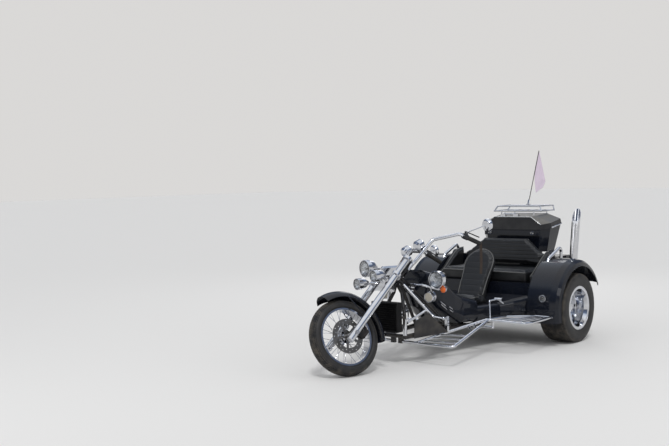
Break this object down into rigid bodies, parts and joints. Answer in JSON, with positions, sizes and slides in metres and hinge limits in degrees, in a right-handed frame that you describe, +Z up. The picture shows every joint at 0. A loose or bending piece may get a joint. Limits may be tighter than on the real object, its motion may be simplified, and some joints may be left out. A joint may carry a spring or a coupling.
{
  "type": "motorized trike",
  "caption": "Motor trike with a raked, steered front wheel, wide rear wheels, driver seat, passenger bench and hinged trunk.",
  "frame": {"origin": "middle of the footprint of the whole trike, on the ground", "axes": "+X to the trike's left, +Y rearwards, +Z up; the length runs along Y"},
  "size_m": [1.756, 3.5921, 1.8672],
  "materials": {
    "tyre_rubber": "matt black tread rubber",
    "grip_rubber": "matt black rubber",
    "chrome": "polished chrome plate",
    "steel": "ground steel",
    "aluminium": "dark radiator core",
    "cast_iron": "dull cast metal",
    "black_paint": "gloss black bodywork, faintly blue",
    "frame_paint": "satin black frame paint",
    "black_plastic": "dull black",
    "black_vinyl": "black upholstery with pale piping",
    "red_lens": "red lens",
    "flag_cloth": "pale lilac cloth"
  },
  "bodies": {
    "chassis": {"rear_shocks": "steel", "main_frame": "frame_paint", "side_braces": "chrome", "splash_panels": "black_plastic", "radiator": "aluminium", "side_lamps": "chrome", "front_cowl": "black_paint", "body_tub": "black_paint", "driver_seat_cushion": "black_vinyl", "driver_seat_back": "black_vinyl", "rear_body": "black_paint", "rear_fender_left": "black_paint", "rear_fender_right": "black_paint", "bench_cushion": "black_vinyl", "bench_back": "black_vinyl", "bench_bolsters": "black_vinyl", "grab_rails": "chrome", "footboard_left": "chrome", "footboard_right": "chrome", "power_unit": "cast_iron", "rear_axle": "frame_paint", "exhaust_stack": "chrome", "tail_lamps": "red_lens", "plate_holder": "black_plastic", "trunk_box": "black_paint"},
    "fork": {"fork_leg_left": "chrome", "fork_leg_right": "chrome", "front_axle": "steel", "fork_yokes": "chrome", "front_fender": "black_paint", "handlebar": "chrome", "hand_grips": "grip_rubber", "hand_controls": "black_plastic", "mirrors": "chrome", "instruments": "chrome", "fork_lamps": "chrome", "front_brake_caliper": "frame_paint"},
    "front_wheel": {"front_tyre": "tyre_rubber", "front_rim": "chrome", "front_brake_disc": "steel"},
    "rear_wheel_left": {"rear_tyre_left": "tyre_rubber", "rear_rim_left": "chrome"},
    "rear_wheel_right": {"rear_tyre_right": "tyre_rubber", "rear_rim_right": "chrome"},
    "trunk_lid": {"trunk_lid": "black_paint", "luggage_rack": "chrome", "flag_mast": "black_plastic", "flag": "flag_cloth"}
  },
  "joints": [
    {"name": "steering", "type": "hinge", "parent": "chassis", "child": "fork", "pos_m": [0, -1.44113, 0.24655], "axis": [0, 0.8039, 0.5948], "range_deg": [-10, 60]},
    {"name": "front_wheel_spin", "type": "hinge", "parent": "fork", "child": "front_wheel", "pos_m": [-0.03381, -1.48426, 0.30483], "axis": [0.9063, -0.2514, 0.3397], "continuous": true},
    {"name": "rear_wheel_left_spin", "type": "hinge", "parent": "chassis", "child": "rear_wheel_left", "pos_m": [0.728, 0.95728, 0.331], "axis": [1, 0, 0], "continuous": true},
    {"name": "rear_wheel_right_spin", "type": "hinge", "parent": "chassis", "child": "rear_wheel_right", "pos_m": [-0.728, 0.95728, 0.331], "axis": [1, 0, 0], "continuous": true},
    {"name": "trunk_lid_hinge", "type": "hinge", "parent": "chassis", "child": "trunk_lid", "pos_m": [0, 1.20128, 1.05585], "axis": [1, 0, 0], "range_deg": [0, 75]}
  ]
}
